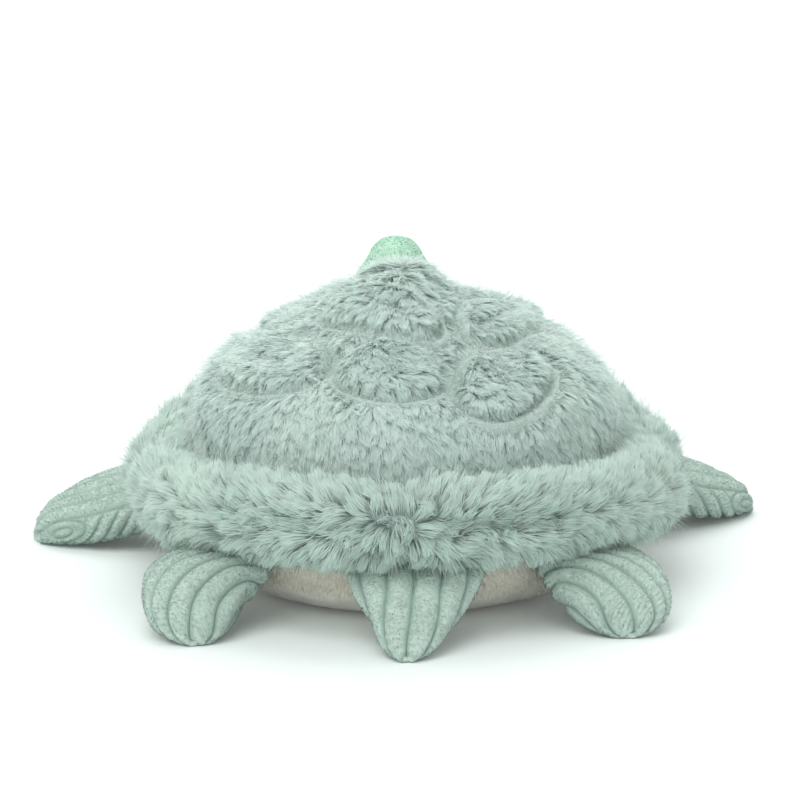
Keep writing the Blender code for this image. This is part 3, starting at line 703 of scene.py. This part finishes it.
def make_roll():
    angles = ring_angles(ROLL_COLUMNS)
    turns = ring_angles(ROLL_ROWS)[:, None]
    reach, height = roll_centre(angles)
    radius = RIM_RADIUS - ROLL_PILE_DEPTH
    points = plane_points(angles, reach + radius * np.cos(turns), height + radius * np.sin(turns))
    skin = Skin(points, loop=True)
    rear = np.abs((angles + np.pi / 2 + np.pi) % (2 * np.pi) - np.pi)
    turned = (turns + np.pi) % (2 * np.pi) - np.pi
    crease = np.exp(-((turned - 0.12) * radius / (3.0 * MM)) ** 2)
    reachable = smooth_step(0.85, 0.35, rear) * smooth_step(0.03, 0.12, rear)
    seam = np.exp(-(rear * reach / (2.0 * MM)) ** 2)
    folds = fold_depths(skin.points, ROLL_FOLDS)
    skin.move(folds - ROLL_CREASE * crease * reachable - ROLL_SEAM * seam)
    return skin


roll = make_roll()
roll_skin = skin_mesh("roll_skin", roll, fur_ground)
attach(roll_skin, "body")
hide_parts("rim_cover", "rim_filling")


def roll_comb(points, normals, u, v):
    """The roll's pile runs away from the seam at the rear and parts over its outermost line."""
    angles = u * 2 * np.pi
    tangent = np.stack([-np.sin(angles), np.cos(angles), 0 * angles], -1)
    rear = (angles + np.pi / 2 + np.pi) % (2 * np.pi) - np.pi
    away = np.tanh(rear * 0.1 / (5 * MM)) * np.where(np.abs(rear) > 2.6, (np.pi - np.abs(rear)) / 0.55, 1)
    turned = (v * 2 * np.pi + np.pi) % (2 * np.pi) - np.pi
    section = np.cross(tangent, normals) * -1
    split = np.tanh((turned - 0.1) / 0.5)
    way = tangent * (away * (0.85 + 0.3 * noise(points, 0.03, 41)))[:, None]
    way = way + section * (split * 0.75)[:, None] + 0.4 * noise3(points, 0.016, 44) + 0.35 * noise3(points, 0.008, 51)
    way = unit(way - normals * dot(way, normals))
    lean = 0.95 + 0.2 * noise(points, 0.018, 47)
    share = 0.9 + 0.15 * noise(points, 0.03, 48) - 0.25 * np.exp(-(rear * 0.1 / (2.5 * MM)) ** 2)
    return way, lean, share


roll_turns = (ring_angles(ROLL_ROWS) + np.pi) % (2 * np.pi) - np.pi
roll_weight = np.tile(smooth_step(2.45, 2.1, np.abs(roll_turns))[:, None], (1, ROLL_COLUMNS))
roll_pile = lay_pile(roll, 61, 4.4, 9.5 * MM, 0.38 * MM, 4.4 * MM, roll_comb, 0.84, weight=roll_weight, unruly=1.35)
pile_objects("roll_pile", roll_pile, fur, "body", 8)
roll_hairs = lay_pile(roll, 65, 0.4, 12.0 * MM, 0.14 * MM, 5.0 * MM, stray_comb(roll_comb), 0.2, weight=roll_weight,
                      curl=0.25, unruly=1.7, twist=0.6)
pile_objects("roll_hairs", roll_hairs, fur, "body", 1)


# Belly

BELLY_FOLDS = ((1.6 * MM, 0.024, 71), (0.6 * MM, 0.009, 74))
BELLY_PILE_DEPTH = 1.8 * MM
BELLY_FLOOR = 0.35 * MM

def make_belly():
    angles = ring_angles(300)
    shares = even_rows(BELLY_PROFILE_SHARES, 60)[::-1]
    reach, height = roll_seat(angles, BELLY_EDGE_INSET, -1)
    skin = Skin(plane_points(angles, shares[:, :1] * reach, shares[:, 1:] * height))
    rise = smooth_step(0.05, 0.3, np.linspace(0, 1, len(shares)))[:, None]
    folds = fold_depths(skin.points, BELLY_FOLDS)
    skin.move((folds - BELLY_PILE_DEPTH) * rise)
    skin.points[..., 2] = np.maximum(skin.points[..., 2], BELLY_FLOOR)
    skin.update()
    return skin


belly = make_belly()
belly_skin = skin_mesh("belly_skin", belly, plush, first_pole=np.array((0, 0, BELLY_FLOOR)))
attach(belly_skin, "body")
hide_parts("belly_cover")


def belly_comb(points, normals, u, v):
    down = unit(-UP - normals * dot(-UP, normals) + 1e-6)
    way = down + 0.8 * noise3(points, 0.012, 81)
    return way, 0.75 + 0.2 * noise(points, 0.01, 84), np.ones(len(points))


belly_weight = smooth_step(0.8, 0.5, -belly.normals[..., 2]) * smooth_step(0.5 * MM, 3 * MM, belly.points[..., 2])
belly_pile = lay_pile(belly, 91, 3.0, 2.4 * MM, 0.34 * MM, 1.6 * MM, belly_comb, 0.5, weight=belly_weight)
belly_pile["tip"][:, 2] = np.maximum(belly_pile["tip"][:, 2], 0.2 * MM)
pile_objects("belly_pile", belly_pile, plush_fibres, "body", 2)


# Cord limbs

WALE = 10.5 * MM
WALE_RISE = 2.8 * MM
ASKEW_WALE = 8.4 * MM
ASKEW_ACROSS = 0.66
ASKEW_ALONG = 0.75
EDGE_RISE = 6.5 * MM
OVAL_REACH = 6.0 * MM
OVAL_LONG = 1.5
OVAL_CORE = 2.4 * MM
OVAL_SIZE = 6.2 * MM
ROOT_FULLNESS = 0.22
SKIN_DROP_POWER = 1.95
RIB = 1.2 * MM
ROUND_POWER = 0.82
CORD_PILE = 0.9 * MM
LIMB_CELL = 0.32 * MM
LIMB_COLUMNS = 300
LIMB_FOLD = 0.6 * MM
LIMB_FULLNESS = 0.8 * MM
KNOB_RISE = 0.22 * MM
NAP_RISE = 0.13 * MM


class Limb:
    """A limb's middle curve and cross sections, from its seam under the roll to its tip on the floor."""

    def __init__(self, name):
        sewn, heading, length_share, sizes, shares, self.trim, self.sway = LIMBS[name]
        length, self.width, self.thickness = sizes
        self.length = length * length_share
        self.shares = shares
        sewn, heading = math.radians(sewn), math.radians(heading)
        root_thickness = self.thickness * shares[0][2]
        ends = []
        for side in (-1, 1):
            turned = np.array(sewn + side * math.radians(LIMB_ROOT_DEGREES))
            ends.append(plane_points(turned, *roll_centre(turned)))
        self.along = unit(ends[1] - ends[0])
        self.outward = unit(np.array((self.along[1], -self.along[0], 0)))
        reach, height = roll_centre(np.array(sewn))
        drop = RIM_RADIUS + LIMB_SEAM_GAP + root_thickness / 2
        self.root = plane_points(np.array(sewn), reach - LIMB_ROOT_INSET, height - drop)
        pointing = np.array((math.cos(heading), math.sin(heading), 0))
        self.bend = self.root + self.outward * self.length * LIMB_TURN_SHARE
        self.tip = self.bend + pointing * self.length * (1 - LIMB_TURN_SHARE)
        self.root_low = self.root[2] - root_thickness / 2

    def skin(self, rows, columns, depth):
        table = curve_rows(self.shares, 40)
        table = np.concatenate([table, [(0.997, table[-1, 1] * 0.5, table[-1, 2] * 0.55)]])
        way = np.cumsum(np.hypot(np.diff(table[:, 0], prepend=0) * self.length,
                                 np.diff(table[:, 1], prepend=table[0, 1]) * self.width / 2))
        places = np.linspace(way[0], way[-1], rows)
        s, wide, thick = [np.interp(places, way, column)[:, None] for column in table.T]
        wide = wide * (1 - self.trim * smooth_step(0.0, 0.6, s))
        thick = thick + ROOT_FULLNESS * (1 - s) ** 2
        centre = self.root * (1 - s) ** 2 + self.bend * 2 * s * (1 - s) + self.tip * s ** 2
        centre[:, :1] += self.sway * s ** 2
        way = unit((self.bend - self.root) * (1 - s) + (self.tip - self.bend) * s)
        across = unit(np.stack([-way[:, 1], way[:, 0], self.along[2] * (1 - s[:, 0])], -1))
        low = STITCH_GAP + (self.root_low - STITCH_GAP) * (1 - s) ** SKIN_DROP_POWER
        centre[:, 2:] = low + thick * self.thickness / 2
        fine = np.linspace(0, 2 * np.pi, 2001)
        flat = np.sign(np.cos(fine)) * np.abs(np.cos(fine)) ** ROUND_POWER
        high = np.sign(np.sin(fine)) * np.abs(np.sin(fine)) ** ROUND_POWER
        arc = np.cumsum(np.hypot(np.diff(flat * self.width / 2, prepend=self.width / 2),
                                 np.diff(high * self.thickness / 2, prepend=0)))
        turns = np.interp(np.arange(columns) / columns * arc[-1], arc, fine)
        flat, high = np.interp(turns, fine, flat), np.interp(turns, fine, high)
        half_wide = np.maximum(wide * self.width / 2 - depth, 0.2 * MM)
        half_thick = np.maximum(thick * self.thickness / 2 - depth * 0.6, 0.2 * MM)
        points = centre[:, None] + across[:, None] * (half_wide * flat)[..., None]
        points = points + UP * (half_thick * high)[..., None]
        self.reach = s * self.length + 0 * turns
        around = np.cumsum(np.linalg.norm(points - np.roll(points, 1, 1), axis=-1), 1)
        over = around[:, int(np.argmin(np.abs(turns - np.pi / 2))), None]
        self.girth = over - around + np.where(turns > 1.5 * np.pi, around[:, -1:], 0)
        self.edge = around[:, -1:] / 4
        return Skin(points), centre[-1] + way[-1] * 0.4 * MM


def nearest_groove(place, spacing):
    return spacing / 2 - np.abs((place / spacing) % 1 - 0.5) * spacing


def fanned_wales(limb, skew, unwind, shift, wander):
    """Distance from the nearest groove and place along it. The wales start askew and turn along the limb."""
    turned = skew * (1 - unwind * limb.reach / limb.length)
    place = limb.girth + skew * limb.reach * (1 - unwind * limb.reach / (2 * limb.length)) + shift + wander
    return nearest_groove(place, WALE), (limb.reach - turned * limb.girth) / np.hypot(1, turned)


def seamed_wales(limb, side, shift, wander):
    """The same for a front flipper, whose wales run along it in front of a sewn edge, askew behind it, and in ovals
    round its tip."""
    y = side * limb.girth
    past_edge = y - limb.edge + EDGE_RISE
    ahead = nearest_groove(past_edge + wander, WALE)
    askew = nearest_groove(ASKEW_ACROSS * y - ASKEW_ALONG * limb.reach + shift + wander, ASKEW_WALE) * WALE / ASKEW_WALE
    gap = np.where(past_edge < 0, ahead, np.minimum(askew, past_edge))
    along = np.where(past_edge < 0, limb.reach, ASKEW_ALONG * y + ASKEW_ACROSS * limb.reach)
    right, up = limb.length - limb.reach - OVAL_REACH, y - limb.edge
    oval = np.hypot(right / OVAL_LONG, up) + 0.3 * wander
    ring = np.minimum(np.abs(oval - OVAL_CORE), OVAL_SIZE - oval)
    inside = (oval < OVAL_SIZE) & (y > 0)
    gap = np.where(inside, ring, np.where(y > 0, np.minimum(gap, np.abs(oval - OVAL_SIZE)), gap))
    return gap, np.where(inside, np.arctan2(up, right / OVAL_LONG) * 5 * MM, along)


def make_limb(name, wales, depth, seed):
    limb = Limb(name)
    skin, pole = limb.skin(int(limb.length / LIMB_CELL), LIMB_COLUMNS, CORD_PILE * 0.8)
    gap, along = wales(limb, 0.8 * MM * noise(skin.points, 0.017, seed + 3))
    rise = np.sqrt(1 - (1 - np.clip(gap / (WALE / 2), 0, 1)) ** 2)
    fold = LIMB_FOLD * noise(skin.points, 0.016, seed) + LIMB_FULLNESS
    ribs = np.cos(2 * np.pi * along / RIB) * (0.8 + 0.5 * noise(skin.points, 1.3 * MM, seed + 11))
    knobs = KNOB_RISE * ribs + NAP_RISE * noise(skin.points, 0.9 * MM, seed + 12)
    skin.move(fold - (1 - rise) * WALE_RISE * depth + knobs * smooth_step(0.2 * MM, 1.2 * MM, gap))
    skin.points[..., 2] = np.maximum(skin.points[..., 2], 0.4 * MM)
    skin.update()
    shell_piece = skin_mesh(name + "_skin", skin, cord, last_pole=pole)
    # Painted shade in the grooves between the wales
    store_groove_shade(shell_piece.data, np.exp(-(gap / (1.3 * MM)) ** 2))
    start = limb.root - limb.outward * 3 * MM
    end = limb.root + limb.outward * 7 * MM
    crossing = ("body", name, start, end)
    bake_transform(shell_piece)
    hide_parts(name + "_cover", name + "_filling")

    rows, columns = skin.points.shape[:2]

    def cells(u, v):
        return np.minimum((v * (rows - 1)).round().astype(int), rows - 1), (u * columns).astype(int) % columns

    def keep(u, v, power):
        return (0.5 + 0.5 * np.cos(2 * np.pi * along[cells(u, v)] / RIB)) ** power

    def comb(points, normals, u, v):
        way = unit(limb.tip - limb.root) + 0.5 * noise3(points, 0.008, seed + 5)
        share = 0.5 + 0.5 * smooth_step(0.3 * MM, 1.6 * MM, gap[cells(u, v)])
        return way, 1.02 + 0.15 * noise(points, 0.007, seed + 8), share

    weight = smooth_step(0.1 * MM, 0.5 * MM, gap) * smooth_step(0.3 * MM, 1.2 * MM, skin.points[..., 2])
    pile = lay_pile(skin, seed + 20, 6.0, CORD_PILE, 0.16 * MM, 0.7 * MM, comb, 0.2, weight=weight, curl=0.12,
                    scatter_light=0.1, keep=keep, unruly=1.8, lift=0.9, twist=0.8)
    for part in ("bend", "tip"):
        pile[part][:, 2] = np.maximum(pile[part][:, 2], 0.15 * MM)
    pile_objects(name + "_pile", pile, cord_fibres, name, 1, blend=crossing, form=SHORT_STRAND)


for limb_name, wales, depth, seed in (
    ("front_flipper_left", lambda limb, wander: seamed_wales(limb, 1, 0.2 * WALE, wander), 0.8, 101),
    ("front_flipper_right", lambda limb, wander: seamed_wales(limb, -1, 0.5 * WALE, wander), 0.8, 131),
    ("rear_flipper_left", lambda limb, wander: fanned_wales(limb, 0.8, 0.45, 0.15 * WALE, wander), 1.0, 161),
    ("rear_flipper_right", lambda limb, wander: fanned_wales(limb, -1.3, 0.5, 0.45 * WALE, wander), 1.0, 191),
    ("tail", lambda limb, wander: fanned_wales(limb, 0.0, 1.0, 0.04 * WALE, wander), 1.0, 221),
):
    make_limb(limb_name, wales, depth, seed)


# Velour neck and head

VELOUR_DEPTH = 0.7 * MM
VELOUR_PILE = 0.9 * MM
EYE_CLEARING = 5.2 * MM

def make_neck():
    root, low_degrees, low_handle, high_degrees, high_handle, end = NECK_PATH
    low, high = math.radians(low_degrees), math.radians(high_degrees)
    p0 = np.array(root)
    p3 = np.array(end)
    p1 = p0 + np.array((0, math.cos(low), math.sin(low))) * low_handle
    p2 = p3 - np.array((0, math.cos(high), math.sin(high))) * high_handle
    t = np.linspace(0, 1, 70)[:, None]
    centre = p0 * (1 - t) ** 3 + p1 * 3 * t * (1 - t) ** 2 + p2 * 3 * t ** 2 * (1 - t) + p3 * t ** 3
    way = unit((p1 - p0) * (1 - t) ** 2 + (p2 - p1) * 2 * t * (1 - t) + (p3 - p2) * t ** 2)
    radius = NECK_ROOT_RADIUS + (NECK_END_RADIUS - NECK_ROOT_RADIUS) * t - VELOUR_DEPTH
    turns = -ring_angles(110)
    side = np.array((1.0, 0, 0))
    up = np.cross(side, way)
    points = centre[:, None] + radius[..., None] * (
        side * np.cos(turns)[:, None] + up[:, None] * np.sin(turns)[:, None])
    skin = Skin(points)
    skin.move(0.8 * MM * noise(skin.points, 0.014, 251) * smooth_step(1.0, 0.85, t))
    return skin, p0, p3, way


def head_axes(end, way):
    side = np.array((1.0, 0, 0))
    up = way[-1]
    return end + up * STITCH_GAP, side, np.cross(up, side), up


neck, neck_root, neck_end, neck_way = make_neck()
neck_skin = skin_mesh("neck_skin", neck, velour)
neck_crossing = ("body", "neck", neck_root - neck_way[0] * 4 * MM, neck_root + neck_way[0] * 12 * MM)
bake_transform(neck_skin)
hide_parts("neck_cover", "neck_filling")

head_origin, head_side, head_fore, head_up = head_axes(neck_end, neck_way)


def head_world(local):
    return head_origin + local[..., :1] * head_side + local[..., 1:2] * head_fore + local[..., 2:] * head_up


def make_head():
    half_width, back, front, height = HEAD_SIZES
    seam = NECK_END_RADIUS
    first = (0.0, seam / half_width, seam / back, seam / front)
    rows = even_rows((first, *HEAD_RING_SHARES, (1.0, 0.06, 0.06, 0.05)), 110)
    h, wide, rear, fore = [column[:, None] for column in rows.T]
    turns = ring_angles(130)
    blend = 0.5 + 0.5 * np.tanh(np.sin(turns) / 0.25)
    reach = rear * back * (1 - blend) + fore * front * blend
    local = np.stack([
        np.maximum(wide * half_width - VELOUR_DEPTH, 0.1 * MM) * np.cos(turns),
        np.maximum(reach - VELOUR_DEPTH, 0.1 * MM) * np.sin(turns),
        h * (height - VELOUR_DEPTH) + 0 * turns], -1)
    skin = Skin(head_world(local))
    seam_line = np.exp(-(local[..., 0] / (0.8 * MM)) ** 2) * smooth_step(0.0, 0.3, h) * (local[..., 1] > 0)
    skin.move(-0.35 * MM * seam_line + 0.3 * MM * noise(skin.points, 0.012, 271))
    pole = head_world(np.array((0, 0, height - VELOUR_DEPTH)))
    return skin, pole


head, head_pole = make_head()
head_skin = skin_mesh("head_skin", head, velour, last_pole=head_pole)
head_crossing = ("neck", "head", head_origin, head_origin + head_up * 9 * MM)
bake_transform(head_skin)
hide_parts("head_cover", "head_filling")

eye_centres = [np.array((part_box(name)[0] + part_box(name)[1]) / 2) for name in ("eye_left", "eye_right")]


def velour_comb(points, normals, u, v):
    down = unit(-UP - normals * dot(-UP, normals) + 1e-6)
    way = down + 0.9 * noise3(points, 0.006, 281)
    return way, 1.0 + 0.2 * noise(points, 0.006, 284), np.ones(len(points))


head_weight = np.ones(head.points.shape[:2])
for centre in eye_centres:
    head_weight = head_weight * (np.linalg.norm(head.points - centre, axis=-1) > EYE_CLEARING)
for body_name, velour_part, seed, part_weight, crossing in (
    ("head", head, 291, head_weight, head_crossing),
    ("neck", neck, 301, None, neck_crossing),
):
    velour_pile = lay_pile(velour_part, seed, 8.0, VELOUR_PILE, 0.18 * MM, VELOUR_PILE, velour_comb, 0.2,
                           weight=part_weight, curl=0.1, scatter_light=0.1, lift=0.8, twist=0.8)
    pile_objects(body_name + "_pile", velour_pile, velour_fibres, body_name, 1, blend=crossing,
                 form=SHORT_STRAND)

black, _, black_shader = new_material("eye_plastic", 0.12, 0.0, 0.5)
black_shader.inputs["Base Color"].default_value = (0.012, 0.012, 0.014, 1)
black_shader.inputs["Coat Weight"].default_value = 0.6
washer_grey, _, washer_shader = new_material("washer_plastic", 0.45, 0.0, 0.5)
washer_shader.inputs["Base Color"].default_value = (0.55, 0.55, 0.56, 1)
for node_name, finish in (
    ("eye_left", black), ("eye_right", black), ("eye_washer_left", washer_grey), ("eye_washer_right", washer_grey),
):
    node_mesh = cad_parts[node_name].data
    node_mesh.materials.clear()
    node_mesh.materials.append(finish)


# Floor, light and camera. The camera stands as the photograph's, with the part's origin at this pixel of it.

FLOOR_HALF = 6.0
FLOOR_COLOUR = (0.80, 0.86, 0.84, 1)
FLOOR_GLOW = 0.06
WORLD_LIGHT = 0.69
LAMP_SPREAD = 50
LAMPS = (("key", (-0.35, -0.58, 1.0), 1.35), ("back", (0.1, 0.75, 1.0), 1.1))
IMAGE_SIZE = 800
ORIGIN_PIXEL = (405, 566)
FOCAL_PIXELS = 3920
SENSOR_WIDTH = 36
CAMERA_DISTANCE = 1.6
CAMERA_DEGREES = 15

def make_stage():
    mesh = bpy.data.meshes.new("floor")
    corners = [(x * FLOOR_HALF, y * FLOOR_HALF, 0) for x, y in ((-1, -1), (1, -1), (1, 1), (-1, 1))]
    mesh.from_pydata(corners, [], [(0, 1, 2, 3)])
    made, tree, shader = new_material("floor", 0.9, 0.0, 0.1)
    shader.inputs["Base Color"].default_value = FLOOR_COLOUR
    rays = add_node(tree, "ShaderNodeLightPath")
    seen = add_node(tree, "ShaderNodeMath", {0: rays.outputs["Is Camera Ray"], 1: FLOOR_GLOW}, operation="MULTIPLY")
    tree.links.new(seen.outputs["Value"], shader.inputs["Emission Strength"])
    shader.inputs["Emission Color"].default_value = (1, 1, 1, 1)
    floor = new_object("floor", mesh, made)

    world = bpy.data.worlds.new("studio")
    world.use_nodes = True
    bpy.context.scene.world = world
    tree = world.node_tree
    back = tree.nodes["Background"]
    rays = add_node(tree, "ShaderNodeLightPath")
    seen = add_node(tree, "ShaderNodeMath", {0: rays.outputs["Is Camera Ray"], 1: rays.outputs["Is Glossy Ray"]},
                    operation="MAXIMUM")
    seen = add_node(tree, "ShaderNodeMath", {0: seen.outputs["Value"], 1: rays.outputs["Is Transmission Ray"]},
                    operation="MAXIMUM")
    strength = add_node(tree, "ShaderNodeMapRange", {
        "Value": seen.outputs["Value"], "To Min": WORLD_LIGHT, "To Max": 1.0})
    tree.links.new(strength.outputs["Result"], back.inputs["Strength"])
    back.inputs["Color"].default_value = (1, 1, 1, 1)

    for name, place, power in LAMPS:
        lamp = bpy.data.lights.new(name, "SUN")
        lamp.angle = math.radians(LAMP_SPREAD)
        lamp.energy = power
        made = bpy.data.objects.new(name, lamp)
        bpy.context.scene.collection.objects.link(made)
        made.location = place
        made.rotation_mode = "QUATERNION"
        made.rotation_quaternion = (-Vector(place)).to_track_quat("-Z", "Y")


def make_camera():
    data = bpy.data.cameras.new("camera")
    rise = math.radians(CAMERA_DEGREES)
    data.sensor_width = SENSOR_WIDTH
    data.lens = FOCAL_PIXELS * SENSOR_WIDTH / IMAGE_SIZE
    data.shift_x = -(ORIGIN_PIXEL[0] - IMAGE_SIZE / 2) / IMAGE_SIZE
    data.shift_y = (ORIGIN_PIXEL[1] - IMAGE_SIZE / 2) / IMAGE_SIZE
    camera = bpy.data.objects.new("camera", data)
    bpy.context.scene.collection.objects.link(camera)
    camera.location = (0, -CAMERA_DISTANCE * math.cos(rise), CAMERA_DISTANCE * math.sin(rise))
    camera.rotation_euler = (math.pi / 2 - rise, 0, 0)
    bpy.context.scene.camera = camera


make_stage()
make_camera()
bpy.context.scene.view_settings.view_transform = "Standard"
